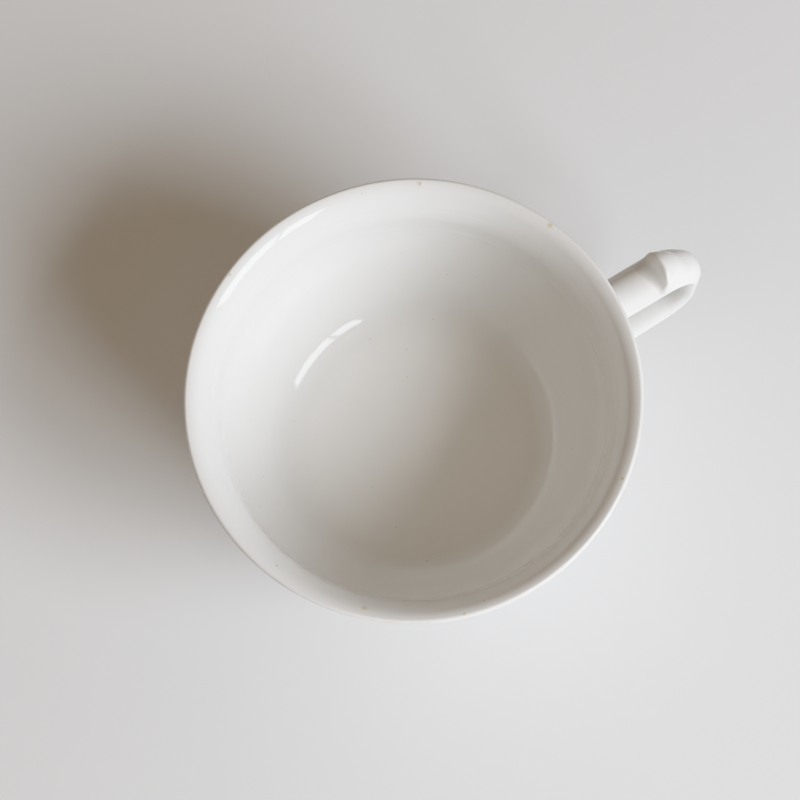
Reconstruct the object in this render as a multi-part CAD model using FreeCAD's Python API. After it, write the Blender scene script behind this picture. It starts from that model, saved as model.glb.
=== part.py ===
"""Porcelain teacup: a wide bowl with an everted lip on a low foot ring, and a strap
handle with a thumb spur, stuck on with two thin joints of slip.

Millimetres, +Z up.  The origin is on the bowl's axis, on the plane that the foot ring
stands on.  The handle lies along +X.
"""
import FreeCAD, Part
import math
import os

# ---------------------------------------------------------------- bowl
rim_radius = 50.0            # widest point of the lip
rim_height = 52.0            # top of the lip above the table
edge_radius = 0.7            # round over the lip's edge
lip_radius = 4.5             # inner sweep of the lip, next to its edge
edge_slope = 12.0            # degrees from level, where the edge's round meets the lip's sweep
flare_radius = 13.5          # inner sweep of the flare that leads from the wall to the lip
flare_slope = 50.0           # degrees from level, where the lip's sweep meets the flare
lip_underside_radius = 10.0  # hollow under the lip, on the outside
wall_thickness = 2.9
wall_radius = 50.5           # curve of the inside wall, seen in section
floor_height = 9.4           # inside floor above the table
floor_thickness = 4.4
inner_bend_radius = 9.0      # floor to wall, inside
outer_bend_radius = 13.0     # underside to wall, outside

# ---------------------------------------------------------------- foot ring
foot_overhang = 1.3          # how far the ring stands out beyond the level underside
foot_width = 3.2             # of the ring at the table
foot_flare = 0.9             # how much wider the ring's outer side is at the bowl
foot_edge_radius = 0.7       # the ring's two lower edges

# ---------------------------------------------------------------- handle
strap_width = 10.0           # across the handle
strap_thickness = 5.0
upper_joint_drop = 12.4      # upper joint's centre below the top of the lip
upper_arm_rise = 11.6        # degrees
handle_projection = 20.9     # middle of the grip beyond the lip's edge
lower_joint_height = 14.2    # level end of the lower arm above the table
lower_arm_length = 20.9      # grip to where the lower arm turns level, measured along X
lower_arm_rise = 20.8        # degrees
upper_bend_radius = 7.5      # the bends are measured at the middle of the strap
lower_bend_radius = 10.0
toe_bend_radius = 20.0
least_straight_grip = 0.05   # share of the grip's height that no bend may take
slip_thickness = 0.6         # layer of slip between the handle and the bowl
slip_margin = 0.8            # slip squeezed out all round the strap

# ---------------------------------------------------------------- thumb spur
spur_setback = 8.3           # crest to the middle of the grip, measured along X
spur_height = 3.9            # crest above the middle of the strap's upper face
spur_inset = 0.3             # each end of the spur in from the strap's side
spur_front_radius = 5.5      # hollow face towards the bowl
spur_back_length = 6.0       # crest to where the back ends inside the strap
spur_back_knee = 0.5         # how far along the back is at spur_knee_height, as a share of its length
spur_knee_height = 0.35      # share of the spur's height
spur_root_depth = 1.7        # how far the spur's blank goes into the strap before it is cut
spur_arch = 4.5              # how far above the crest the arch that rounds off its ends would close


def point(x, z, y=0.0):
    return FreeCAD.Vector(x, y, z)


def on_circle(centre, radius, degrees):
    turn = math.radians(degrees)
    return point(centre.x + radius * math.cos(turn), centre.z + radius * math.sin(turn))


def arc(centre, radius, start, end):
    """Arc in the XZ plane between two angles in degrees."""
    middle = on_circle(centre, radius, (start + end) / 2.0)
    return Part.Arc(on_circle(centre, radius, start), middle, on_circle(centre, radius, end)).toShape()


def angle_between(centre, target):
    return math.degrees(math.atan2(target.z - centre.z, target.x - centre.x))


def line(start, end):
    return Part.LineSegment(start, end).toShape()


def end_point(edge):
    """The end that the edge was drawn to."""
    return edge.valueAt(edge.LastParameter)


def revolved(edges):
    """Solid turned from edges that start and end on the axis."""
    outline = Part.Wire(edges + [line(end_point(edges[-1]), edges[0].valueAt(edges[0].FirstParameter))])
    return Part.Face(outline).revolve(FreeCAD.Vector(0, 0, 0), FreeCAD.Vector(0, 0, 1), 360.0)


def single(shape, name):
    """The one solid that a node is made of."""
    solids = shape.removeSplitter().Solids
    if len(solids) != 1:
        raise ValueError("%s came out as %d solids" % (name, len(solids)))
    return solids[0]


# ---------------------------------------------------------------- bowl section
edge_centre = point(rim_radius - edge_radius, rim_height - edge_radius)


def sweep_centre(centre, distance, slope):
    """Centre of the wider arc that runs on from an arc, where their surface has that slope."""
    turn = math.radians(slope)
    return point(centre.x + distance * math.sin(turn), centre.z - distance * math.cos(turn))


def underside_centre(side):
    """Centre of the hollow under the lip, which touches the wall's side and the edge's round."""
    x = side + lip_underside_radius
    dz = math.sqrt((lip_underside_radius + edge_radius) ** 2 - (x - edge_centre.x) ** 2)
    return point(x, edge_centre.z - dz)


def bend_centre(wall_centre, wall_arc_radius, radius, level):
    """Centre of the bend that touches the wall's arc and the level surface below it."""
    z = level + radius
    dx = math.sqrt((wall_arc_radius - radius) ** 2 - (z - wall_centre.z) ** 2)
    return point(wall_centre.x + dx, z)


lip_centre = sweep_centre(edge_centre, lip_radius - edge_radius, edge_slope)
flare_centre = sweep_centre(lip_centre, flare_radius - lip_radius, flare_slope)
throat_radius = flare_centre.x - flare_radius    # inside radius where the wall ends
outside_radius = throat_radius + wall_thickness
outer_wall_radius = wall_radius + wall_thickness
underside_height = floor_height - floor_thickness

under_centre = underside_centre(outside_radius)
inner_wall_centre = point(throat_radius - wall_radius, flare_centre.z)
outer_wall_centre = point(outside_radius - outer_wall_radius, under_centre.z)
inner_bend_centre = bend_centre(inner_wall_centre, wall_radius, inner_bend_radius, floor_height)
outer_bend_centre = bend_centre(outer_wall_centre, outer_wall_radius, outer_bend_radius, underside_height)


def envelope_edges(grow):
    """Outside of the bowl from the axis underneath to the top of the wall, grown outwards."""
    bend_end = angle_between(outer_wall_centre, outer_bend_centre)
    bottom = point(outer_bend_centre.x, underside_height - grow)
    return [
        line(point(0.0, underside_height - grow), bottom),
        arc(outer_bend_centre, outer_bend_radius + grow, -90.0, bend_end),
        arc(outer_wall_centre, outer_wall_radius + grow, bend_end, 0.0),
    ]


def make_envelope(grow=0.0):
    """Solid that fills the bowl's outside up to where the lip begins."""
    edges = envelope_edges(grow)
    top = end_point(edges[-1])
    return revolved(edges + [line(top, point(0.0, top.z))])


def make_bowl():
    under_end = angle_between(under_centre, edge_centre)
    bend_end = angle_between(inner_wall_centre, inner_bend_centre)
    edges = envelope_edges(0.0)
    edges += [
        arc(under_centre, lip_underside_radius, 180.0, under_end),
        arc(edge_centre, edge_radius, under_end - 180.0, 90.0 + edge_slope),
        arc(lip_centre, lip_radius, 90.0 + edge_slope, 90.0 + flare_slope),
        arc(flare_centre, flare_radius, 90.0 + flare_slope, 180.0),
        arc(inner_wall_centre, wall_radius, 0.0, bend_end),
        arc(inner_bend_centre, inner_bend_radius, bend_end, -90.0),
        line(point(inner_bend_centre.x, floor_height), point(0.0, floor_height)),
    ]
    return single(revolved(edges), "bowl")


# ---------------------------------------------------------------- foot ring
foot_outer_radius = outer_bend_centre.x + foot_overhang    # at the table


def make_foot_ring(envelope):
    """Ring with a flared outer side, whose top fits the bowl's underside."""
    inner = foot_outer_radius - foot_width
    top = underside_height + foot_edge_radius + foot_flare
    outline = [
        point(inner, 0.0),
        point(foot_outer_radius, 0.0),
        point(foot_outer_radius + foot_flare, top),
        point(inner, top),
    ]
    sides = [line(outline[i], outline[(i + 1) % 4]) for i in range(4)]
    ring = Part.Face(Part.Wire(sides)).revolve(
        FreeCAD.Vector(0, 0, 0), FreeCAD.Vector(0, 0, 1), 360.0)
    lower_edges = [e for e in ring.Edges if e.Closed and e.BoundBox.ZMax < foot_edge_radius / 2.0]
    ring = ring.makeFillet(foot_edge_radius, lower_edges)
    return single(ring.cut(envelope), "foot ring")


# ---------------------------------------------------------------- handle
handle_reach = rim_radius + handle_projection    # bowl axis to the middle of the grip
upper_joint = point(outside_radius, rim_height - upper_joint_drop)
toe = point(handle_reach - lower_arm_length, lower_joint_height)


def arm_height(start, rise, x):
    """Height at x of an arm's middle line, which rises from start."""
    return start.z + (x - start.x) * math.tan(math.radians(rise))


def handle_path():
    """Upper arm, upper bend, plumb grip, lower bend, lower arm, toe bend and its level end."""
    upper_corner = arm_height(upper_joint, upper_arm_rise, handle_reach)
    lower_corner = arm_height(toe, lower_arm_rise, handle_reach)
    upper_half_turn = math.radians((90.0 + upper_arm_rise) / 2.0)
    lower_half_turn = math.radians((90.0 - lower_arm_rise) / 2.0)
    bends = upper_bend_radius * math.tan(upper_half_turn) + lower_bend_radius * math.tan(lower_half_turn)
    room = (1.0 - least_straight_grip) * (upper_corner - lower_corner)
    fit = min(1.0, room / bends)     # a short grip has tighter bends
    upper_radius = fit * upper_bend_radius
    lower_radius = fit * lower_bend_radius
    upper_centre = point(
        handle_reach - upper_radius, upper_corner - upper_radius * math.tan(upper_half_turn))
    lower_centre = point(
        handle_reach - lower_radius, lower_corner + lower_radius * math.tan(lower_half_turn))
    upper_start = on_circle(upper_centre, upper_radius, 90.0 + upper_arm_rise)
    lower_end = on_circle(lower_centre, lower_radius, -90.0 + lower_arm_rise)
    toe_length = toe_bend_radius * math.tan(math.radians(lower_arm_rise / 2.0))
    toe_centre = point(toe.x - toe_length, toe.z + toe_bend_radius)
    toe_start = on_circle(toe_centre, toe_bend_radius, -90.0 + lower_arm_rise)
    toe_end = on_circle(toe_centre, toe_bend_radius, -90.0)
    inside = inner_bend_centre.x     # the arms start well inside the bowl and are cut at its wall
    return [
        line(point(inside, arm_height(upper_joint, upper_arm_rise, inside)), upper_start),
        arc(upper_centre, upper_radius, 90.0 + upper_arm_rise, 0.0),
        line(point(handle_reach, upper_centre.z), point(handle_reach, lower_centre.z)),
        arc(lower_centre, lower_radius, 0.0, -90.0 + lower_arm_rise),
        line(lower_end, toe_start),
        arc(toe_centre, toe_bend_radius, -90.0 + lower_arm_rise, -90.0),
        line(toe_end, point(inside, toe.z)),
    ]


def oval(centre, first_end, second_end):
    """Ellipse whose two axes end at the given points, whichever of them is the longer."""
    longer, shorter = sorted((first_end, second_end), key=centre.distanceToPoint, reverse=True)
    return Part.Wire(Part.Ellipse(longer, shorter, centre).toShape())


def strap_section(start, direction, margin=0.0):
    """Oval of the strap's section, standing across the path."""
    half_width = strap_width / 2.0 + margin
    half_thickness = strap_thickness / 2.0 + margin
    across = FreeCAD.Vector(0, 1, 0)
    up = direction.cross(across)
    return oval(start, start + across * half_width, start + up * half_thickness)


def make_strap():
    path = handle_path()
    start = path[0].valueAt(path[0].FirstParameter)
    direction = path[0].tangentAt(path[0].FirstParameter)
    return Part.Wire(path).makePipeShell([strap_section(start, direction)], True, True)


def make_joint_slip(arm, envelope, grown_envelope, name):
    """Thin collar of slip that fills the gap between one end of the strap and the bowl's wall."""
    start = arm.valueAt(arm.FirstParameter)
    end = arm.valueAt(arm.LastParameter)
    if start.x > end.x:
        start, end = end, start
    direction = (end - start).normalize()
    blank = Part.Face(strap_section(start, direction, slip_margin)).extrude(end - start)
    return single(blank.common(grown_envelope).cut(envelope), name)


# ---------------------------------------------------------------- thumb spur
spur_reach = handle_reach - spur_setback         # bowl axis to the crest
spur_width = strap_width - 2.0 * spur_inset


def make_spur(strap):
    """Ridge across the strap: its hollow face towards the bowl rises from the strap's outer face."""
    slope = math.radians(upper_arm_rise)
    along = FreeCAD.Vector(math.cos(slope), 0, math.sin(slope))
    out = FreeCAD.Vector(-math.sin(slope), 0, math.cos(slope))
    middle = point(spur_reach, arm_height(upper_joint, upper_arm_rise, spur_reach))
    face = middle + out * (strap_thickness / 2.0)
    crest = face + out * spur_height
    sweep = math.acos(1.0 - spur_height / spur_front_radius)
    hollow_centre = face + out * spur_front_radius - along * (spur_front_radius * math.sin(sweep))

    def front(turn):
        return hollow_centre - out * (spur_front_radius * math.cos(turn)) + along * (
            spur_front_radius * math.sin(turn))

    front_foot = front(0.0)
    root = out * spur_root_depth
    front_root = front_foot - root
    back_root = face + along * spur_back_length - root
    back_knee = face + along * (spur_back_length * spur_back_knee) + out * (
        spur_height * spur_knee_height)
    outline = [
        Part.Arc(front_foot, front(sweep / 2.0), crest).toShape(),
        Part.Arc(crest, back_knee, back_root).toShape(),
        line(back_root, front_root),
        line(front_root, front_foot),
    ]
    across = FreeCAD.Vector(0, spur_width, 0)
    blank = Part.Face(Part.Wire(outline)).extrude(across)
    blank.translate(across * -0.5)
    arch_top = front_root + out * (spur_root_depth + spur_height + spur_arch)
    arch = oval(front_root, front_root + across * 0.5, arch_top)
    rounded = Part.Face(arch).extrude(back_root - front_root)
    return single(blank.common(rounded).cut(strap), "thumb spur")


def main():
    os.makedirs("parts", exist_ok=True)
    envelope = make_envelope()
    grown_envelope = make_envelope(slip_thickness)
    strap = make_strap()
    path = handle_path()
    loop = [s for s in strap.cut(grown_envelope).Solids if s.BoundBox.XMax > rim_radius]
    nodes = {
        "bowl": make_bowl(),
        "foot_ring": make_foot_ring(envelope),
        "handle_loop": single(loop[0], "handle loop"),
        "thumb_spur": make_spur(strap),
        "upper_joint_slip": make_joint_slip(path[0], envelope, grown_envelope, "upper joint slip"),
        "lower_joint_slip": make_joint_slip(path[-1], envelope, grown_envelope, "lower joint slip"),
    }
    for name, shape in nodes.items():
        shape.exportStep("parts/%s.step" % name)
        print("%-18s %9.1f mm3  valid %s" % (name, shape.Volume, shape.isValid()))


main()
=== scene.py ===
"""Looks of the porcelain teacup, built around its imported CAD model.

Metres, +Z up.  The origin is on the bowl's axis, on the plane that the foot ring stands
on, and the handle lies along +X.
"""

import math

import bpy
import numpy as np
from mathutils import Matrix, Vector, noise


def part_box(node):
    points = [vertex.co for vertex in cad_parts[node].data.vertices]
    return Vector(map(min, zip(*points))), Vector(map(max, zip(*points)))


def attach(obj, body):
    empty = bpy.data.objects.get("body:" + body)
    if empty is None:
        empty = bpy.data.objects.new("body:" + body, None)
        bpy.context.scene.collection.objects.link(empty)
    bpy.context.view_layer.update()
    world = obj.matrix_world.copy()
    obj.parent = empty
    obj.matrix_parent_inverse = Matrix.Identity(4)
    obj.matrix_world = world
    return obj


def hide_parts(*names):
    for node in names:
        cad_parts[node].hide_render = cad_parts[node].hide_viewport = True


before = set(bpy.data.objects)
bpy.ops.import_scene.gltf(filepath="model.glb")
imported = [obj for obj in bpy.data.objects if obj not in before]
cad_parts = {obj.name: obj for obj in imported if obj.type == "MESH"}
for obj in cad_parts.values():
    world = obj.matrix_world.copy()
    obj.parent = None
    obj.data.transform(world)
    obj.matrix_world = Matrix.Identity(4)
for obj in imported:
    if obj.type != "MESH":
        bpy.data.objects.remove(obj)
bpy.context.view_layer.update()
MM = 0.001

# ---------------------------------------------------------------- sizes that the CAD model gives
bowl_low, bowl_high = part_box("bowl")
foot_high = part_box("foot_ring")[1]
loop_low, loop_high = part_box("handle_loop")
rim_radius = bowl_high.y
rim_height = bowl_high.z
underside_height = bowl_low.z
foot_radius = foot_high.x          # widest, where the ring meets the bowl
strap_width = loop_high.y - loop_low.y

# ---------------------------------------------------------------- bowl section, as in the CAD model
edge_radius = 0.7 * MM
lip_radius = 4.5 * MM              # inner sweep of the lip, next to its edge
edge_slope = 12.0                  # degrees from level, where the edge's round meets the lip's sweep
flare_radius = 13.5 * MM           # inner sweep that leads from the wall to the lip
flare_slope = 50.0                 # degrees from level, where the lip's sweep meets the flare
lip_underside_radius = 10.0 * MM
wall_thickness = 2.9 * MM          # at the throat, where the wall stands upright
wall_radius = 50.5 * MM            # of the wall's upright arc, inside
floor_thickness = 4.4 * MM
inner_bend_radius = 9.0 * MM       # floor to wall, inside
outer_bend_radius = 13.0 * MM      # underside to wall, outside
floor_height = underside_height + floor_thickness

# ---------------------------------------------------------------- unevenness of the fired bowl
warp_size = 28.0 * MM
warp_depth = 0.14 * MM             # at most, inwards, at the top of the lip
warp_sag = 0.6                     # how far the lip sinks there, as a share of that

# ---------------------------------------------------------------- foot ring
foot_width = 3.2 * MM              # at the table
foot_flare = 0.7 * MM              # how much narrower the ring's outer side is at the table
foot_edge_radius = 0.7 * MM
foot_fillet = 1.6 * MM             # hollow where the ring's sides run into the underside
foot_embed = 0.3 * MM              # how far the ring's top runs into the bowl's body
bare_height = 0.35 * MM            # the ring has no glaze below this

# ---------------------------------------------------------------- handle
strap_thickness = 5.0 * MM
upper_joint_drop = 12.4 * MM       # upper joint's centre below the top of the lip
upper_arm_rise = 11.6              # degrees
lower_joint_height = 14.2 * MM
lower_arm_length = 20.9 * MM       # grip to where the lower arm turns level
lower_arm_rise = 20.8              # degrees
upper_bend_radius = 7.5 * MM       # the bends are measured at the middle of the strap
lower_bend_radius = 10.0 * MM
toe_bend_radius = 20.0 * MM
handle_reach = loop_high.x - strap_thickness / 2.0
joint_fillet = 1.7 * MM            # hollow of glaze and slip where the strap meets the wall
strap_embed = 0.4 * MM             # how far the strap's ends and the collars run into the wall
strap_clear = 2.2 * MM             # how far the strap's rings stay off its ends, which are curved
grip_narrowing = 0.08              # share of the strap's width that the grip lacks
grip_drift = -0.4 * MM             # how far the grip's middle lies off the handle's plane
grip_start = (-1.0 * MM, 9.0 * MM)  # past the crest, where the narrowing sets in and is whole
grip_end = (32.0 * MM, 14.0 * MM)  # before the lower end, where it starts to leave and is gone
# Half of the strap's outline, from the middle of its outer face to the middle of its inner face,
# as shares of the half width and the half thickness
STRAP_OUTLINE = [(0.0, 1.0), (0.46, 1.0), (0.96, -0.05), (1.0, -0.42), (0.62, -1.0), (0.0, -1.0)]

# ---------------------------------------------------------------- thumb spur
spur_setback = 8.3 * MM            # crest to the middle of the grip, measured along X
spur_height = 3.9 * MM             # crest above the strap's outer face
spur_front_radius = 5.5 * MM       # hollow face towards the bowl
spur_back_length = 4.4 * MM        # crest to where the back meets the strap's face
spur_crest_round = 0.2 * MM        # softness of the crest
crest_arch = 0.8 * MM              # how much nearer the grip the crest's middle is than its ends
short_front = 0.5                  # share of the front's length that is left on the -Y side
front_sides = (-1.0, 0.6)          # across, in half widths, where the front is shortest and whole
spur_crown = 0.05                  # share of its height that the spur loses towards its sides
spur_shoulder = 0.84               # in half widths, where the crest starts to run out
back_narrowing = 0.6               # how much further in that is at the end of the back
spur_face_share = 0.985            # width of the spur's mesh, as a share of the strap's
spur_root_share = 0.9              # the same for its underside, inside the strap
spur_root_depth = 0.8 * MM         # how deep the spur's underside lies in the strap
spur_sink = 0.03 * MM              # how far the spur's thin border dips under the strap's face
spur_before = 7.0 * MM             # length of the spur's mesh before the crest
spur_beyond = 2.0 * MM             # and past the end of the back

# ---------------------------------------------------------------- flecks
# (degrees round from the handle, distance from the axis in mm, width in mm)
GILT_FLECKS = [(59.5, 48.6, 1.5), (22.9, 49.1, 1.9), (229.1, 47.6, 1.7), (254.2, 49.3, 1.2),
               (308.4, 48.8, 1.2), (117.1, 48.9, 1.0)]
PINHOLES = [(86.1, 27.5, 0.45), (65.8, 41.2, 0.4), (179.7, 40.4, 0.45), (182.4, 42.7, 0.4),
            (168.0, 37.3, 0.4), (294.3, 28.6, 0.45), (245.9, 29.4, 0.5), (324.9, 36.3, 0.45),
            (321.4, 41.8, 0.5), (203.6, 47.2, 0.7)]
FLECK_LIFT = 0.004 * MM            # of a fleck's border above the glaze
FLECK_RISE = 0.02 * MM             # of a fleck's middle above its border
FLECK_UNEVENNESS = 0.45            # most that a fleck's outline leaves its circle, as a share
FLECK_LOBES = 1.3                  # radius in the noise of the circle that shapes an outline
FLECK_SPREAD = 7.3                 # from one fleck's circle in the noise to the next, in radii
FLECK_FADE = (0.1, 1.0)            # shares of the way out, where a fleck starts to fade and is gone

# ---------------------------------------------------------------- fineness of the meshes
ARC_STEP = 3.0                     # degrees
LONGEST_STEP = 0.8 * MM
THROAT_START = -10.0               # degrees on the wall's arc, below which its mesh is coarser
THROAT_STEP = 0.3 * MM
BOWL_TURNS = 360
FOOT_TURNS = 240
OUTLINE_CUTS = 3
STRAP_STEP = 0.7 * MM
COLLAR_STEPS = 8
SPUR_STEP = 0.2 * MM
CREST_SAMPLES = 17                 # heights that are averaged to round the crest
CREST_SPREAD = 2.0                 # how far they reach, in spur_crest_round
WALL_SEARCH = 60.0 * MM            # longest way from a point to the wall
WALL_HALVINGS = 40
FLECK_RINGS, FLECK_SPOKES = 4, 18
EDGE_POINTS = 12                   # first points of the edge's round, as far as flecks may lie

# ---------------------------------------------------------------- colours and finishes
GLAZE_COLOUR = (0.81, 0.80, 0.77)
POOLED_GLAZE_AND_SHADE_COLOUR = (0.58, 0.555, 0.50)    # where the glaze is thick, and painted shade on the spur's hollow front
WORN_COLOUR = (0.56, 0.46, 0.36)   # thin glaze that has taken up tea along the lip
GILT_COLOUR = (0.66, 0.50, 0.27)
PINHOLE_COLOUR = (0.36, 0.34, 0.31)
IRON_COLOUR = (0.42, 0.36, 0.29)
BISCUIT_COLOUR = (0.66, 0.62, 0.55)
PAINT_COLOURS = ((0.785, 0.785, 0.78), (0.80, 0.80, 0.795))
GLAZE_SHADE = 0.975                # of the glaze's colour where it is darkest
BISCUIT_SHADE = 0.9                # of the biscuit's colour in its grain
GLAZE_ROUGHNESS = (0.045, 0.085)
UPRIGHT_ROUGHNESS = 0.4            # of the throat, where the wall stands upright
BISCUIT_ROUGHNESS = 0.62
PAINT_ROUGHNESS = 0.6
GLAZE_IOR = 1.46
BARE_RAGGED = 0.12 * MM            # how far the glaze's end on the foot wanders up and down
BARE_FADE = 0.08 * MM

# Soft noise: waves in a metre, detail, and the part of its range that is used
TONE_NOISE = (38.0, 3.0, 0.35, 0.65)
POOL_AND_SHADE_NOISE = (90.0, 2.0, 0.2, 0.7)
WEAR_NOISE = (160.0, 4.0, 0.42, 0.62)
GILT_NOISE = (2600.0, 2.0, 0.35, 0.6)
GLOSS_NOISE = (55.0, 3.0, 0.3, 0.7)
BARE_NOISE = (300.0, 3.0, 0.3, 0.7)
GRAIN_NOISE = (2200.0, 3.0, 0.3, 0.7)
PAINT_NOISE = (9.0, 3.0, 0.3, 0.7)
POOL_AND_SHADE_LEAST = 0.5                   # share of the strength of the pooled glaze and painted shade where its noise is lowest
GILT_LEAST = 0.55                  # the same for the gilding
SPECK_SCALE = 210.0                # iron specks in a metre, in each direction
SPECK_RADII = (0.022, 0.034)       # of a speck's full part and of its border, in cells
SPECK_STRENGTH = 0.8
WAVE_SCALE, WAVE_DEPTH = 75.0, 0.03 * MM       # slow waves in the glaze
PEEL_SCALE, PEEL_DEPTH = 700.0, 0.0022 * MM    # fine unevenness, as on orange peel
BUMP_DETAIL = 1.0

# ---------------------------------------------------------------- marks on the meshes
WEAR_SIDE = 30.0                   # degrees above level on the edge's round, where wear is most
WEAR_SPREAD = (6.0, 26.0)          # degrees from there, where wear starts to fade and is gone
WEAR_STRENGTH = 0.5
BEND_POOL = 0.1                    # strength of the pool in the bend, inside
BEND_POOL_SHIFT = 4.0 * MM         # its middle, out from the end of the level floor
BEND_POOL_SPREAD = (1.0 * MM, 7.0 * MM)
FOOT_POOL = 0.8
FOOT_POOL_SPREAD = (0.5 * MM, 3.0 * MM)
FOOT_POOL_DROP = 3.0 * MM          # it lies lower than this below the inner floor
SLIP_POOL = 0.7
# painted shade, with pooled glaze, on the spur's hollow front that faces the bowl
SPUR_POOL_AND_SHADE = 0.8
SPUR_SHADE_START = (-5.5 * MM, -2.5 * MM)   # from the crest, where the painted shade and pooled glaze set in and are whole
SPUR_SHADE_END = (-2.0 * MM, -0.5 * MM)     # from the crest, where they start to fade and are gone
CALM_SPREAD = (3.0 * MM, 8.0 * MM)         # from the throat, where it starts to fade and is gone
INSIDE_MARGIN = 1.0 * MM           # the inner skin is at least this far in from the wall's outside
ON_EDGE = 0.01 * MM                # how near to the edge's round a point of it lies

# ---------------------------------------------------------------- camera and light
HANDLE_TURN = 28.5                 # degrees that the handle points up from picture right
MOUTH_DROP = 1.3 * MM              # middle of the mouth below the top of the lip
CAMERA_DISTANCE = 408.7 * MM       # to the middle of the mouth
CAMERA_TILT = 14.84                # degrees from straight down
CAMERA_SIDE = -84.0                # degrees, side that the camera leans to, from picture right
CAMERA_VIEW = 24.0                 # degrees
CAMERA_NEAR = 0.01
SENSOR_WIDTH = 36.0                # millimetres, as Blender counts lenses
AIM_OFFSET = (-4.5 * MM, 12.2 * MM)  # where the view's middle meets the table, from the axis
TABLE_REACH = 2.0                  # metres from the axis to each side
WINDOW_SIDE = -38.0                # degrees, from picture right
WINDOW_HEIGHT = 30.7               # degrees above the table
WINDOW_DISTANCE = 1.374            # metres
WINDOW_TURN = 23.3                 # degrees that the window is swung about its own upright
WINDOW_COLOUR = (0.87, 0.92, 1.0)
WINDOW_POWER = 30.0                # watts, both panes together
PANE_WIDTHS = (0.413, 0.571)       # metres, the left and the right pane
PANE_HEIGHT = 0.814
PANE_GAP = 0.06
LEFT_ROOM_COLOUR = (0.24, 0.225, 0.21)     # light from the picture's left, fading towards its right
CEILING_COLOUR = (0.18, 0.115, 0.05)       # light from overhead, fading towards the table's level

# ---------------------------------------------------------------- tones of the picture
BRIGHTEST = 1.6                    # light that the picture still tells from white
BRIGHTEST_SHOWN = 0.96             # where the tone curve ends
SHOULDER = [(0.6, 0.6), (0.9, 0.79), (1.2, 0.89)]  # light, and the tone that it is shown as


# ================================================================ geometry helpers
def arc(centre, radius, start, end, longest=LONGEST_STEP):
    """Points along an arc, between two angles in degrees."""
    sweep = abs(end - start)
    steps = math.ceil(max(sweep / ARC_STEP, math.radians(sweep) * radius / longest))
    turns = np.radians(np.linspace(start, end, steps + 1))
    return [(centre[0] + radius * math.cos(t), centre[1] + radius * math.sin(t)) for t in turns]


def straight(start, end):
    """Points along a straight line."""
    steps = max(1, math.ceil(math.dist(start, end) / LONGEST_STEP))
    shares = np.linspace(0.0, 1.0, steps + 1)
    return [(start[0] + (end[0] - start[0]) * t, start[1] + (end[1] - start[1]) * t) for t in shares]


def joined(*runs):
    """One line of points from runs that meet end to end."""
    points = list(runs[0])
    for run in runs[1:]:
        points += run[1:]
    return points


def lengths_along(points):
    """Length from the first point to each point of a line."""
    steps = np.hypot(*np.diff(points, axis=0).T)
    return np.concatenate([[0.0], np.cumsum(steps)])


def angle_between(centre, target):
    return math.degrees(math.atan2(target[1] - centre[1], target[0] - centre[0]))


def smooth_step(start, end, value):
    """0 up to start, 1 from end on, and a soft rise between them."""
    t = min(1.0, max(0.0, (value - start) / (end - start)))
    return t * t * (3.0 - 2.0 * t)


def fading(spread, distance):
    """1 up to the first of the two distances, 0 past the second."""
    return 1.0 - smooth_step(*spread, distance)


def rounded(outline, times):
    """Closed outline with its corners cut the given number of times."""
    points = [Vector(p) for p in outline]
    for _ in range(times):
        cut = []
        for here, there in zip(points, points[1:] + points[:1]):
            cut += [here.lerp(there, 0.25), here.lerp(there, 0.75)]
        points = cut
    return points


def grid_faces(rows, columns, close_rows, close_columns):
    """Quads over a grid of vertices that is stored row by row."""
    faces = []
    for i in range(rows if close_rows else rows - 1):
        for j in range(columns if close_columns else columns - 1):
            below = ((i + 1) % rows) * columns
            right = (j + 1) % columns
            faces.append((i * columns + j, below + j, below + right, i * columns + right))
    return faces


def tube_faces(rows, columns):
    """Quads round a tube that is stored ring by ring, and a face on each of its ends."""
    faces = grid_faces(rows, columns, False, True)
    faces.append(tuple(range(columns))[::-1])
    faces.append(tuple(range((rows - 1) * columns, rows * columns)))
    return faces


def make_piece(name, vertices, faces, material, nodes=(), marks=None):
    """Smooth mesh that rides on the cup.  marks are named values for each vertex."""
    mesh = bpy.data.meshes.new(name)
    mesh.from_pydata([tuple(v) for v in vertices], [], faces)
    mesh.update()
    mesh.polygons.foreach_set("use_smooth", [True] * len(mesh.polygons))
    for mark_name, values in (marks or {}).items():
        layer = mesh.attributes.new(mark_name, "FLOAT", "POINT")
        layer.data.foreach_set("value", values)
    mesh.materials.append(material)
    piece = bpy.data.objects.new(name, mesh)
    bpy.context.scene.collection.objects.link(piece)
    if nodes:
        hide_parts(*nodes)
    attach(piece, "root")
    return piece


# ================================================================ materials
def add(tree, kind, inputs=None, **settings):
    """New node.  An input is a value, or the output that it is linked to."""
    made = tree.nodes.new(kind)
    for name, value in settings.items():
        setattr(made, name, value)
    for name, value in (inputs or {}).items():
        if isinstance(value, bpy.types.NodeSocket):
            tree.links.new(value, made.inputs[name])
        else:
            made.inputs[name].default_value = value
    return made


def scaled(tree, value, low, high, to_low=0.0, to_high=1.0):
    """value from low to high, mapped to the second range and held inside it."""
    inputs = {"Value": value, "From Min": low, "From Max": high, "To Min": to_low, "To Max": to_high}
    return add(tree, "ShaderNodeMapRange", inputs).outputs["Result"]


def product(tree, first, second):
    return add(tree, "ShaderNodeMath", {0: first, 1: second}, operation="MULTIPLY").outputs[0]


def mixed(tree, share, first, second):
    """Value that goes from first to second."""
    return add(tree, "ShaderNodeMix", {"Factor": share, "A": first, "B": second}).outputs[0]


def blended(tree, share, first, second):
    """Colour that goes from first to second.  The Mix node's colour sockets go by number."""
    inputs = {0: share}
    for socket, colour in ((6, first), (7, second)):
        inputs[socket] = (*colour, 1.0) if isinstance(colour, tuple) else colour
    return add(tree, "ShaderNodeMix", inputs, data_type="RGBA").outputs[2]


def cloud(tree, place, scale, detail):
    """Soft noise, from 0 to 1."""
    inputs = {"Vector": place, "Scale": scale, "Detail": detail}
    return add(tree, "ShaderNodeTexNoise", inputs).outputs["Fac"]


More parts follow.
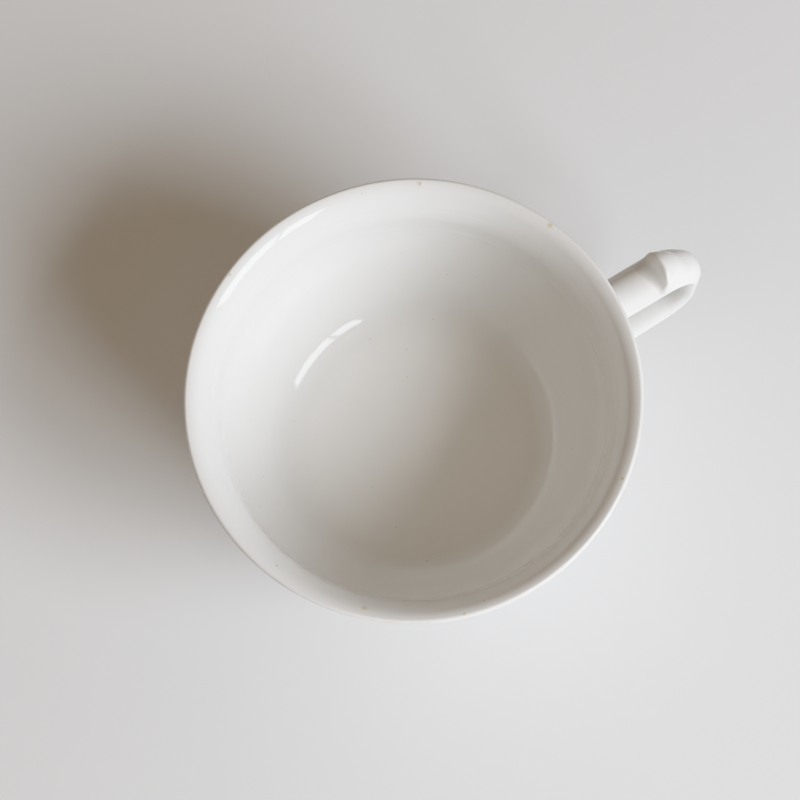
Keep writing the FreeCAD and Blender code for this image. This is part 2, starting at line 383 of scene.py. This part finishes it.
def mottled(tree, place, pattern, to_low=0.0, to_high=1.0):
    """Soft noise of that pattern, mapped to the second range."""
    scale, detail, low, high = pattern
    return scaled(tree, cloud(tree, place, scale, detail), low, high, to_low, to_high)


def mark(tree, name):
    """Named value that a piece's vertices hold, or 0 where they hold none."""
    return add(tree, "ShaderNodeAttribute", attribute_name=name).outputs["Fac"]


def shade_of(colour, share):
    return tuple(c * share for c in colour)


def new_material(name):
    """Material with its tree, its shader and the place on the object."""
    material = bpy.data.materials.new(name)
    material.use_nodes = True
    tree = material.node_tree
    place = add(tree, "ShaderNodeTexCoord").outputs["Object"]
    return material, tree, tree.nodes["Principled BSDF"], place


def glaze_material(name, bare_below=None):
    """Clear glossy glaze over white porcelain.

    It pools in the hollows, is darkened as painted shade on the spur's hollow front, is worn along the
    lip and has a few iron specks.  Below the height bare_below the body is unglazed.
    """
    material, tree, shader, place = new_material(name)
    tone = mottled(tree, place, TONE_NOISE)
    look = blended(tree, tone, shade_of(GLAZE_COLOUR, GLAZE_SHADE), GLAZE_COLOUR)
    # pooled glaze in the hollows; on the spur's hollow front this darkening is painted shade
    pool_and_shade = product(tree, mark(tree, "pool_and_shade"), mottled(tree, place, POOL_AND_SHADE_NOISE, POOL_AND_SHADE_LEAST))
    look = blended(tree, pool_and_shade, look, POOLED_GLAZE_AND_SHADE_COLOUR)
    wear = product(tree, mark(tree, "wear"), mottled(tree, place, WEAR_NOISE))
    look = blended(tree, wear, look, WORN_COLOUR)
    cells = add(tree, "ShaderNodeTexVoronoi", {"Vector": place, "Scale": SPECK_SCALE})
    specks = scaled(tree, cells.outputs["Distance"], *SPECK_RADII, SPECK_STRENGTH, 0.0)
    look = blended(tree, specks, look, IRON_COLOUR)
    gilt = product(tree, mark(tree, "gilt"), mottled(tree, place, GILT_NOISE, GILT_LEAST))
    look = blended(tree, gilt, look, GILT_COLOUR)
    look = blended(tree, mark(tree, "pinhole"), look, PINHOLE_COLOUR)
    rough = mottled(tree, place, GLOSS_NOISE, *GLAZE_ROUGHNESS)
    if bare_below is not None:
        height = add(tree, "ShaderNodeSeparateXYZ", {"Vector": place}).outputs["Z"]
        ragged = mottled(tree, place, BARE_NOISE, -BARE_RAGGED, BARE_RAGGED)
        level = add(tree, "ShaderNodeMath", {0: height, 1: ragged}, operation="ADD").outputs[0]
        bare = scaled(tree, level, bare_below, bare_below + BARE_FADE, 1.0, 0.0)
        grain = mottled(tree, place, GRAIN_NOISE)
        biscuit = blended(tree, grain, shade_of(BISCUIT_COLOUR, BISCUIT_SHADE), BISCUIT_COLOUR)
        look = blended(tree, bare, look, biscuit)
        rough = mixed(tree, bare, rough, BISCUIT_ROUGHNESS)
    calm = mark(tree, "calm")
    rough = mixed(tree, calm, rough, UPRIGHT_ROUGHNESS)
    strength = scaled(tree, calm, 0.0, 1.0, 1.0, 0.0)
    waves = add(tree, "ShaderNodeBump", {
        "Height": cloud(tree, place, WAVE_SCALE, BUMP_DETAIL), "Strength": strength,
        "Distance": WAVE_DEPTH})
    peel = add(tree, "ShaderNodeBump", {
        "Height": cloud(tree, place, PEEL_SCALE, BUMP_DETAIL), "Strength": strength,
        "Distance": PEEL_DEPTH, "Normal": waves.outputs["Normal"]})
    tree.links.new(look, shader.inputs["Base Color"])
    tree.links.new(rough, shader.inputs["Roughness"])
    tree.links.new(peel.outputs["Normal"], shader.inputs["Normal"])
    shader.inputs["IOR"].default_value = GLAZE_IOR
    return material


def floor_material():
    """Plain pale paint with a dull sheen."""
    material, tree, shader, place = new_material("pale_paint")
    look = blended(tree, mottled(tree, place, PAINT_NOISE), *PAINT_COLOURS)
    tree.links.new(look, shader.inputs["Base Color"])
    shader.inputs["Roughness"].default_value = PAINT_ROUGHNESS
    return material


# ================================================================ bowl
edge_centre = (rim_radius - edge_radius, rim_height - edge_radius)


def sweep_centre(centre, distance, slope):
    """Centre of the wider arc that runs on from an arc, where their surface has that slope."""
    turn = math.radians(slope)
    return centre[0] + distance * math.sin(turn), centre[1] - distance * math.cos(turn)


def underside_centre(side):
    """Centre of the hollow under the lip, which touches the wall's side and the edge's round."""
    x = side + lip_underside_radius
    reach = lip_underside_radius + edge_radius
    return x, edge_centre[1] - math.sqrt(reach ** 2 - (x - edge_centre[0]) ** 2)


def bend_centre(wall_centre, wall_arc_radius, radius, level):
    """Centre of the bend that touches the wall's arc and the level surface below it."""
    z = level + radius
    dx = math.sqrt((wall_arc_radius - radius) ** 2 - (z - wall_centre[1]) ** 2)
    return wall_centre[0] + dx, z


lip_centre = sweep_centre(edge_centre, lip_radius - edge_radius, edge_slope)
flare_centre = sweep_centre(lip_centre, flare_radius - lip_radius, flare_slope)
throat_radius = flare_centre[0] - flare_radius
outside_radius = throat_radius + wall_thickness
outer_wall_radius = wall_radius + wall_thickness
under_centre = underside_centre(outside_radius)
inner_wall_centre = (throat_radius - wall_radius, flare_centre[1])
outer_wall_centre = (outside_radius - outer_wall_radius, under_centre[1])
inner_bend_centre = bend_centre(inner_wall_centre, wall_radius, inner_bend_radius, floor_height)
outer_bend_centre = bend_centre(
    outer_wall_centre, outer_wall_radius, outer_bend_radius, underside_height)


def inner_section():
    """Inside of the bowl, from the axis to where the lip's sweep meets the edge's round."""
    bend_end = angle_between(inner_wall_centre, inner_bend_centre)
    return joined(
        straight((0.0, floor_height), (inner_bend_centre[0], floor_height)),
        arc(inner_bend_centre, inner_bend_radius, -90.0, bend_end),
        arc(inner_wall_centre, wall_radius, bend_end, THROAT_START),
        arc(inner_wall_centre, wall_radius, THROAT_START, 0.0, THROAT_STEP),
        arc(flare_centre, flare_radius, 180.0, 90.0 + flare_slope, THROAT_STEP),
        arc(lip_centre, lip_radius, 90.0 + flare_slope, 90.0 + edge_slope),
    )


def outer_section():
    """Rest of the bowl, round the edge, down the outside and in to the axis."""
    under_end = angle_between(under_centre, edge_centre)
    bend_end = angle_between(outer_wall_centre, outer_bend_centre)
    return joined(
        arc(edge_centre, edge_radius, 90.0 + edge_slope, under_end - 180.0),
        arc(under_centre, lip_underside_radius, under_end, 180.0),
        arc(outer_wall_centre, outer_wall_radius, 0.0, bend_end),
        arc(outer_bend_centre, outer_bend_radius, bend_end, -90.0),
        straight((outer_bend_centre[0], underside_height), (0.0, underside_height)),
    )


def warped(point):
    """The point drawn in a little towards the axis, as a fired wall is never quite true."""
    swing = 0.5 + 0.5 * noise.noise(Vector(point) / warp_size)
    rise = point[2] / rim_height
    share = 1.0 - warp_depth * swing * rise / math.hypot(point[0], point[1])
    return point[0] * share, point[1] * share, point[2] - warp_sag * warp_depth * swing * rise ** 4


def turned(section, turns, shape=lambda point: point):
    """Vertices of a section turned about the axis, one row of the section at each turn."""
    vertices = []
    for turn in np.linspace(0.0, 2.0 * math.pi, turns, endpoint=False):
        c, s = math.cos(turn), math.sin(turn)
        vertices += [shape((r * c, r * s, z)) for r, z in section]
    return vertices


def edge_wear(r, z):
    """How worn the lip's edge is: a narrow line on its outer side, where it gets knocked."""
    on_edge = abs(math.dist((r, z), edge_centre) - edge_radius) < ON_EDGE and r > edge_centre[0]
    off_side = abs(angle_between(edge_centre, (r, z)) - WEAR_SIDE)
    return WEAR_STRENGTH * fading(WEAR_SPREAD, off_side) if on_edge else 0.0


def bowl_pool(r, z):
    """How thick the glaze lies: a little in the bend inside, and more beside the foot ring."""
    bend = (inner_bend_centre[0] + BEND_POOL_SHIFT, floor_height)
    in_bend = BEND_POOL * fading(BEND_POOL_SPREAD, math.dist((r, z), bend))
    beside_foot = FOOT_POOL * fading(FOOT_POOL_SPREAD, abs(r - foot_radius))
    return max(in_bend, beside_foot if z < floor_height - FOOT_POOL_DROP else 0.0)


def throat_calm(r, z):
    """How near to the throat a place inside the bowl is."""
    inside = r < outside_radius - INSIDE_MARGIN
    return fading(CALM_SPREAD, abs(z - flare_centre[1])) if inside else 0.0


def make_bowl(material):
    section = joined(inner_section(), outer_section())[1:-1]
    columns = len(section)
    vertices = turned(section, BOWL_TURNS, warped)
    faces = grid_faces(BOWL_TURNS, columns, True, False)
    for i in range(BOWL_TURNS):
        there = (i + 1) % BOWL_TURNS
        faces.append((i * columns, len(vertices), there * columns))
        faces.append((i * columns + columns - 1, there * columns + columns - 1, len(vertices) + 1))
    faces = [face[::-1] for face in faces]
    vertices += [(0.0, 0.0, floor_height), (0.0, 0.0, underside_height)]
    marks = {}
    for name, rule in (("wear", edge_wear), ("pool_and_shade", bowl_pool), ("calm", throat_calm)):
        marks[name] = [rule(r, z) for r, z in section] * BOWL_TURNS + [0.0, 0.0]
    return make_piece("bowl_glazed", vertices, faces, material, ["bowl"], marks)


# ================================================================ foot ring
def underside_at(radius):
    """Height of the bowl's outside at that radius, near the foot."""
    beyond = max(0.0, radius - outer_bend_centre[0])
    return outer_bend_centre[1] - math.sqrt(outer_bend_radius ** 2 - beyond ** 2)


def make_foot_ring(material):
    outer = foot_radius - foot_flare
    inner = foot_radius - foot_flare - foot_width
    fillet_out = foot_radius + foot_fillet
    fillet_in = inner - foot_fillet
    top_out = underside_at(fillet_out)
    outer_hollow = (fillet_out, underside_at(foot_radius) - foot_fillet)
    inner_hollow = (fillet_in, underside_height - foot_fillet)
    section = joined(
        [(fillet_in, underside_height + foot_embed), (fillet_in, underside_height)],
        arc(inner_hollow, foot_fillet, 90.0, 0.0),
        straight((inner, underside_height - foot_fillet), (inner, foot_edge_radius)),
        arc((inner + foot_edge_radius, foot_edge_radius), foot_edge_radius, 180.0, 270.0),
        straight((inner + foot_edge_radius, 0.0), (outer - foot_edge_radius, 0.0)),
        arc((outer - foot_edge_radius, foot_edge_radius), foot_edge_radius, -90.0, 0.0),
        straight((outer, foot_edge_radius), (foot_radius, outer_hollow[1])),
        arc(outer_hollow, foot_fillet, 180.0, 90.0),
        [(fillet_out, top_out), (fillet_out, top_out + foot_embed)],
    )
    vertices = turned(section, FOOT_TURNS)
    faces = [face[::-1] for face in grid_faces(FOOT_TURNS, len(section), True, True)]
    pool_foot = underside_height - 2.0 * foot_fillet
    pool_and_shade = [FOOT_POOL * smooth_step(pool_foot, underside_height, z) for _, z in section]
    marks = {"pool_and_shade": pool_and_shade * FOOT_TURNS}
    return make_piece(
        "foot_ring_glazed", vertices, faces, material, ["foot_ring"], marks)


# ================================================================ handle
ACROSS = Vector((0.0, 1.0, 0.0))
upper_joint = (outside_radius, rim_height - upper_joint_drop)
toe = (handle_reach - lower_arm_length, lower_joint_height)


def arm_height(start, rise, x):
    """Height at x of an arm that rises from its start by that many degrees."""
    return start[1] + (x - start[0]) * math.tan(math.radians(rise))


def handle_path():
    """Middle line of the strap: upper arm, bend, plumb grip, bend, lower arm, toe bend, level end."""
    upper_corner = arm_height(upper_joint, upper_arm_rise, handle_reach)
    lower_corner = arm_height(toe, lower_arm_rise, handle_reach)
    upper_half_turn = math.radians((90.0 + upper_arm_rise) / 2.0)
    lower_half_turn = math.radians((90.0 - lower_arm_rise) / 2.0)
    upper_centre = (
        handle_reach - upper_bend_radius, upper_corner - upper_bend_radius * math.tan(upper_half_turn))
    lower_centre = (
        handle_reach - lower_bend_radius, lower_corner + lower_bend_radius * math.tan(lower_half_turn))
    toe_length = toe_bend_radius * math.tan(math.radians(lower_arm_rise / 2.0))
    toe_centre = (toe[0] - toe_length, toe[1] + toe_bend_radius)
    start = (inner_bend_centre[0], arm_height(upper_joint, upper_arm_rise, inner_bend_centre[0]))
    upper_bend = arc(upper_centre, upper_bend_radius, 90.0 + upper_arm_rise, 0.0)
    lower_bend = arc(lower_centre, lower_bend_radius, 0.0, -90.0 + lower_arm_rise)
    toe_bend = arc(toe_centre, toe_bend_radius, -90.0 + lower_arm_rise, -90.0)
    return joined(
        straight(start, upper_bend[0]), upper_bend,
        straight(upper_bend[-1], lower_bend[0]), lower_bend,
        straight(lower_bend[-1], toe_bend[0]), toe_bend,
        straight(toe_bend[-1], (inner_bend_centre[0], toe[1])),
    )


class Path:
    """Line in the XZ plane that gives its point, direction and outward side at a length along it."""

    def __init__(self, points):
        self.points = np.array(points)
        self.lengths = lengths_along(self.points)
        slopes = np.gradient(self.points, self.lengths, axis=0)
        self.slopes = slopes / np.hypot(*slopes.T)[:, None]

    def at(self, length):
        x, z = (np.interp(length, self.lengths, self.points[:, k]) for k in (0, 1))
        dx, dz = (np.interp(length, self.lengths, self.slopes[:, k]) for k in (0, 1))
        size = math.hypot(dx, dz)
        forward = Vector((dx / size, 0.0, dz / size))
        return Vector((x, 0.0, z)), forward, Vector((-forward.z, 0.0, forward.x))

    def length_at_x(self, x):
        """Length at which the path first reaches x."""
        return self.lengths[int(np.argmax(self.points[:, 0] >= x))]


path = Path(handle_path())
path_end = path.lengths[-1]
crest_length = path.length_at_x(handle_reach - spur_setback)


def strap_outline():
    """Closed outline of the strap as (across, outward) in metres, with soft corners."""
    half = STRAP_OUTLINE[1:-1]
    whole = half + [(-y, n) for y, n in reversed(half)]
    points = rounded(whole, OUTLINE_CUTS)
    widest = max(p[0] for p in points)
    top, bottom = max(p[1] for p in points), min(p[1] for p in points)
    scale_n = strap_thickness / (top - bottom)
    return [
        (p[0] / widest * strap_width / 2.0, (p[1] - bottom) * scale_n - strap_thickness / 2.0)
        for p in points
    ]


strap_section = strap_outline()


def wall_at(height):
    """Radius of the bowl's outside at that height."""
    bend_end = angle_between(outer_wall_centre, outer_bend_centre)
    bend_top = outer_wall_centre[1] + outer_wall_radius * math.sin(math.radians(bend_end))
    centre, radius = outer_bend_centre, outer_bend_radius
    if height > bend_top:
        centre, radius = outer_wall_centre, outer_wall_radius
    up = max(-radius, min(radius, height - centre[1]))
    return centre[0] + math.sqrt(radius ** 2 - up ** 2)


def on_wall(point, direction):
    """Where a line through point, going out from the bowl along direction, leaves the bowl's wall."""
    low, high = -WALL_SEARCH, WALL_SEARCH
    for _ in range(WALL_HALVINGS):
        middle = (low + high) / 2.0
        trial = point + direction * middle
        if math.hypot(trial.x, trial.y) < wall_at(trial.z) and trial.x > 0.0:
            low = middle
        else:
            high = middle
    return point + direction * low


def outward_end(length):
    """Middle, direction away from the bowl and outward side of the strap's straight end there."""
    middle, forward, outward = path.at(length)
    if forward.x < 0.0:
        forward = -forward
    return middle, forward, outward


def strap_point(length, across, outward_part):
    """Place on the strap, which narrows and drifts a little from the spur to the grip."""
    middle, _, outward = path.at(length)
    leaving = 1.0 - smooth_step(path_end - grip_end[0], path_end - grip_end[1], length)
    share = smooth_step(crest_length + grip_start[0], crest_length + grip_start[1], length) * leaving
    side = across * (1.0 - grip_narrowing * share) + grip_drift * share
    return middle + ACROSS * side + outward * outward_part


def make_strap(material):
    """Strap whose two ends follow the bowl's wall."""
    hidden, ends = [], []
    for end_length in (0.0, path_end):
        middle, away, outward = outward_end(end_length)
        hidden.append((on_wall(middle, away) - middle).length)
        ring = []
        for across, outward_part in strap_section:
            corner = middle + ACROSS * across + outward * outward_part
            ring.append(on_wall(corner, away) - away * strap_embed)
        ends.append(ring)
    start, end = hidden[0], path_end - hidden[1]
    steps = math.ceil((end - start) / STRAP_STEP)
    lengths = np.linspace(start + strap_clear, end - strap_clear, steps)
    rings = [[strap_point(s, a, n) for a, n in strap_section] for s in lengths]
    rings = [ends[0], *rings, ends[1]]
    vertices = [p for ring in rings for p in ring]
    faces = tube_faces(len(rings), len(strap_section))
    return make_piece("handle_strap", vertices, faces, material, ["handle_loop"])


def make_collar(name, end_length, node, material):
    """Hollow of slip and glaze all round one end of the strap, running out on the strap and the wall."""
    middle, away, outward = outward_end(end_length)
    profile = []
    for step in range(COLLAR_STEPS + 1):
        turn = math.radians(90.0 * step / COLLAR_STEPS)
        profile.append((joint_fillet * (1.0 - math.sin(turn)), joint_fillet * (1.0 - math.cos(turn))))
    profile.append((-strap_embed, joint_fillet))
    profile.append((-strap_embed, -strap_embed))
    profile.append((joint_fillet, -strap_embed))
    columns = len(strap_section)
    vertices = []
    for i, (across, outward_part) in enumerate(strap_section):
        before, after = strap_section[i - 1], strap_section[(i + 1) % columns]
        side = Vector((after[0] - before[0], after[1] - before[1])).normalized()
        normal = (side.y, -side.x)
        if normal[0] * across + normal[1] * outward_part < 0.0:
            normal = (-normal[0], -normal[1])
        for distance, offset in profile:
            y, n = across + normal[0] * offset, outward_part + normal[1] * offset
            vertices.append(on_wall(middle + ACROSS * y + outward * n, away) + away * distance)
    faces = grid_faces(columns, len(profile), True, True)
    marks = {"pool_and_shade": [SLIP_POOL] * len(vertices)}
    return make_piece(name, vertices, faces, material, [node], marks)


# ================================================================ thumb spur
def spur_profile(distance):
    """Height of the spur at a distance along the strap from its crest, towards the grip."""
    front_sweep = math.acos(1.0 - spur_height / spur_front_radius)
    front_length = spur_front_radius * math.sin(front_sweep)
    if distance <= -front_length or distance >= spur_back_length:
        return 0.0
    if distance < 0.0:
        return spur_front_radius - math.sqrt(spur_front_radius ** 2 - (distance + front_length) ** 2)
    return spur_height * (1.0 - distance / spur_back_length)


def soft_spur_profile(distance):
    """The spur's height with its crest rounded."""
    spread = np.linspace(-CREST_SPREAD, CREST_SPREAD, CREST_SAMPLES)
    weights = np.exp(-spread ** 2)
    heights = [spur_profile(distance + s * spur_crest_round) for s in spread]
    return float(np.dot(weights, heights) / weights.sum())


def spur_share(distance, across):
    """Share of the spur's height at that place.  The back narrows towards the grip."""
    side = abs(across) / (strap_width / 2.0)
    shoulder = spur_shoulder - back_narrowing * smooth_step(0.0, spur_back_length, distance)
    return (1.0 - spur_crown * side ** 2) * (1.0 - smooth_step(shoulder, 1.0, side))


def spur_distance(length, across):
    """Distance from the crest to that place.  The front is stretched where it is short."""
    side = across / (strap_width / 2.0)
    distance = length - crest_length - crest_arch * (0.5 - side ** 2)
    if distance < 0.0:
        distance /= short_front + (1.0 - short_front) * smooth_step(*front_sides, side)
    return distance


def outer_face():
    """Outer side of the strap's section, from its widest place on one side to that on the other."""
    widest = max(range(len(strap_section)), key=lambda i: strap_section[i][0])
    section = strap_section[widest:] + strap_section[:widest]
    opposite = min(range(len(section)), key=lambda i: section[i][0])
    first, second = section[:opposite + 1], section[opposite:] + section[:1]
    return max((first, second[::-1]), key=lambda run: sum(n for _, n in run))


def make_spur(material):
    """Ridge across the strap that runs out smoothly on its outer face."""
    face = [(y * spur_face_share, n) for y, n in outer_face()]
    end = crest_length + spur_back_length + spur_beyond
    lengths = np.arange(crest_length - spur_before, end, SPUR_STEP)
    vertices, pool_and_shade = [], []
    for length in lengths:
        for across, outward_part in face:
            distance = spur_distance(length, across)
            height = soft_spur_profile(distance) * spur_share(distance, across)
            vertices.append(strap_point(length, across, outward_part + height - spur_sink))
            # painted shade on the hollow front, which faces away from the window, as well as pooled
            # glaze
            shaded_front = smooth_step(*SPUR_SHADE_START, distance) * fading(SPUR_SHADE_END, distance)
            pool_and_shade.append(SPUR_POOL_AND_SHADE * shaded_front)
        for across, outward_part in reversed(face):
            root = outward_part - spur_root_depth
            vertices.append(strap_point(length, across * spur_root_share, root))
            pool_and_shade.append(0.0)
    faces = tube_faces(len(lengths), 2 * len(face))
    marks = {"pool_and_shade": pool_and_shade}
    return make_piece(
        "thumb_rest", vertices, faces, material, ["thumb_spur"], marks)


# ================================================================ flecks
def make_flecks(name, flecks, mark_name, material):
    """Thin uneven patches on the inside of the bowl and the top of its lip."""
    skin = np.array(joined(inner_section(), outer_section()[:EDGE_POINTS]))
    skin = skin[:int(np.argmax(skin[:, 0]))]
    along = lengths_along(skin)
    vertices, faces, marks = [], [], []
    for number, (turn, distance, width) in enumerate(flecks):
        start = len(vertices)
        middle = np.interp(distance * MM, skin[:, 0], along)
        for ring in range(FLECK_RINGS + 1):
            out = ring / FLECK_RINGS
            for spoke in range(FLECK_SPOKES):
                angle = 2.0 * math.pi * spoke / FLECK_SPOKES
                seed = Vector((math.cos(angle), math.sin(angle), FLECK_SPREAD * number))
                uneven = 1.0 + FLECK_UNEVENNESS * noise.noise(seed * FLECK_LOBES)
                reach = width * MM / 2.0 * uneven * out
                s = middle + reach * math.cos(angle)
                r, z = (float(np.interp(s, along, skin[:, k])) for k in (0, 1))
                side = math.radians(turn) + reach * math.sin(angle) / (distance * MM)
                x, y, z = warped((r * math.cos(side), r * math.sin(side), z))
                vertices.append((x, y, z + FLECK_LIFT + FLECK_RISE * (1.0 - out ** 2)))
                marks.append(fading(FLECK_FADE, out))
        ring_faces = grid_faces(FLECK_RINGS + 1, FLECK_SPOKES, False, True)
        faces += [tuple(start + v for v in face) for face in ring_faces]
    return make_piece(name, vertices, faces, material, (), {mark_name: marks})


# ================================================================ table, light and camera
def from_picture(direction):
    """Turns a direction given from picture right into the frame, where the handle is +X."""
    return Matrix.Rotation(math.radians(-HANDLE_TURN), 3, "Z") @ Vector(direction)


def looking(place, target, up):
    """Matrix of an object at place that looks at target along its own -Z."""
    back = (place - target).normalized()
    right = up.cross(back).normalized()
    matrix = Matrix((right, back.cross(right), back)).transposed().to_4x4()
    matrix.translation = place
    return matrix


def round_axis(side, height, distance):
    """Vector of that length, at degrees round from picture right and degrees above the table."""
    turn, lift = math.radians(side), math.radians(height)
    level = math.cos(lift)
    return from_picture((math.cos(turn) * level, math.sin(turn) * level, math.sin(lift))) * distance


def make_camera():
    mouth = Vector((0.0, 0.0, rim_height - MOUTH_DROP))
    place = mouth + round_axis(CAMERA_SIDE, 90.0 - CAMERA_TILT, CAMERA_DISTANCE)
    target = from_picture((*AIM_OFFSET, 0.0))
    data = bpy.data.cameras.new("camera")
    data.sensor_width = SENSOR_WIDTH
    data.lens = data.sensor_width / 2.0 / math.tan(math.radians(CAMERA_VIEW / 2.0))
    data.clip_start = CAMERA_NEAR
    camera = bpy.data.objects.new("camera", data)
    bpy.context.scene.collection.objects.link(camera)
    camera.matrix_world = looking(place, target, from_picture((0.0, 1.0, 0.0)))
    bpy.context.scene.camera = camera


def make_pane(name, shift, width, height, power):
    """One pane of the soft window light."""
    place = round_axis(WINDOW_SIDE, WINDOW_HEIGHT, WINDOW_DISTANCE)
    matrix = looking(place, Vector((0.0, 0.0, 0.0)), Vector((0.0, 0.0, 1.0)))
    data = bpy.data.lights.new(name, "AREA")
    data.shape = "RECTANGLE"
    data.size, data.size_y = width, height
    data.energy = power
    data.color = WINDOW_COLOUR
    pane = bpy.data.objects.new(name, data)
    bpy.context.scene.collection.objects.link(pane)
    swing = Matrix.Rotation(math.radians(WINDOW_TURN), 4, "Y")
    pane.matrix_world = matrix @ swing @ Matrix.Translation((shift, 0.0, 0.0))


def make_window():
    left, right = PANE_WIDTHS
    whole = left + right + PANE_GAP
    panes = (("left_pane", left, -whole / 2.0 + left / 2.0),
             ("right_pane", right, whole / 2.0 - right / 2.0))
    for name, width, shift in panes:
        make_pane(name, shift, width, PANE_HEIGHT, WINDOW_POWER * width / (left + right))


def make_room():
    """Dim light from the rest of the room, stronger from the picture's left and from overhead."""
    world = bpy.data.worlds.new("room")
    bpy.context.scene.world = world
    world.use_nodes = True
    tree = world.node_tree
    direction = add(tree, "ShaderNodeTexCoord").outputs["Generated"]
    sources = ((from_picture((-1.0, 0.0, 0.0)), -1.0, LEFT_ROOM_COLOUR),
               (Vector((0.0, 0.0, 1.0)), 0.0, CEILING_COLOUR))
    parts = []
    for towards, dark_at, colour in sources:
        facing = add(tree, "ShaderNodeVectorMath", {0: direction, 1: towards}, operation="DOT_PRODUCT")
        share = scaled(tree, facing.outputs["Value"], dark_at, 1.0)
        light = add(tree, "ShaderNodeVectorMath", {0: colour, "Scale": share}, operation="SCALE")
        parts.append(light.outputs[0])
    whole = add(tree, "ShaderNodeVectorMath", {0: parts[0], 1: parts[1]}, operation="ADD")
    tree.links.new(whole.outputs[0], tree.nodes["Background"].inputs["Color"])


def make_floor():
    half = TABLE_REACH
    corners = [(-half, -half, 0.0), (half, -half, 0.0), (half, half, 0.0), (-half, half, 0.0)]
    mesh = bpy.data.meshes.new("table")
    mesh.from_pydata(corners, [], [(0, 1, 2, 3)])
    mesh.materials.append(floor_material())
    floor = bpy.data.objects.new("table", mesh)
    bpy.context.scene.collection.objects.link(floor)


def soften_highlights():
    """Shows light as it is up to a bright grey, and then lets it run softly into white."""
    view = bpy.context.scene.view_settings
    view.view_transform = "Standard"
    view.use_curve_mapping = True
    curves = view.curve_mapping
    curves.white_level = (BRIGHTEST, BRIGHTEST, BRIGHTEST)
    tone = curves.curves[3]
    tone.points[1].location = (1.0, BRIGHTEST_SHOWN)
    for light, shown in SHOULDER:
        tone.points.new(light / BRIGHTEST, shown)
    curves.update()


# ================================================================ the cup
make_camera()
make_window()
make_room()
make_floor()
soften_highlights()
bowl_glaze = glaze_material("bowl_glaze")
handle_glaze = glaze_material("handle_glaze")
make_bowl(bowl_glaze)
make_foot_ring(glaze_material("foot_glaze", bare_height))
make_strap(handle_glaze)
make_spur(handle_glaze)
joint_glaze = glaze_material("joint_glaze")
make_collar("upper_collar", 0.0, "upper_joint_slip", joint_glaze)
make_collar("lower_collar", path_end, "lower_joint_slip", joint_glaze)
make_flecks("gilt_flecks", GILT_FLECKS, "gilt", bowl_glaze)
make_flecks("pinholes", PINHOLES, "pinhole", bowl_glaze)
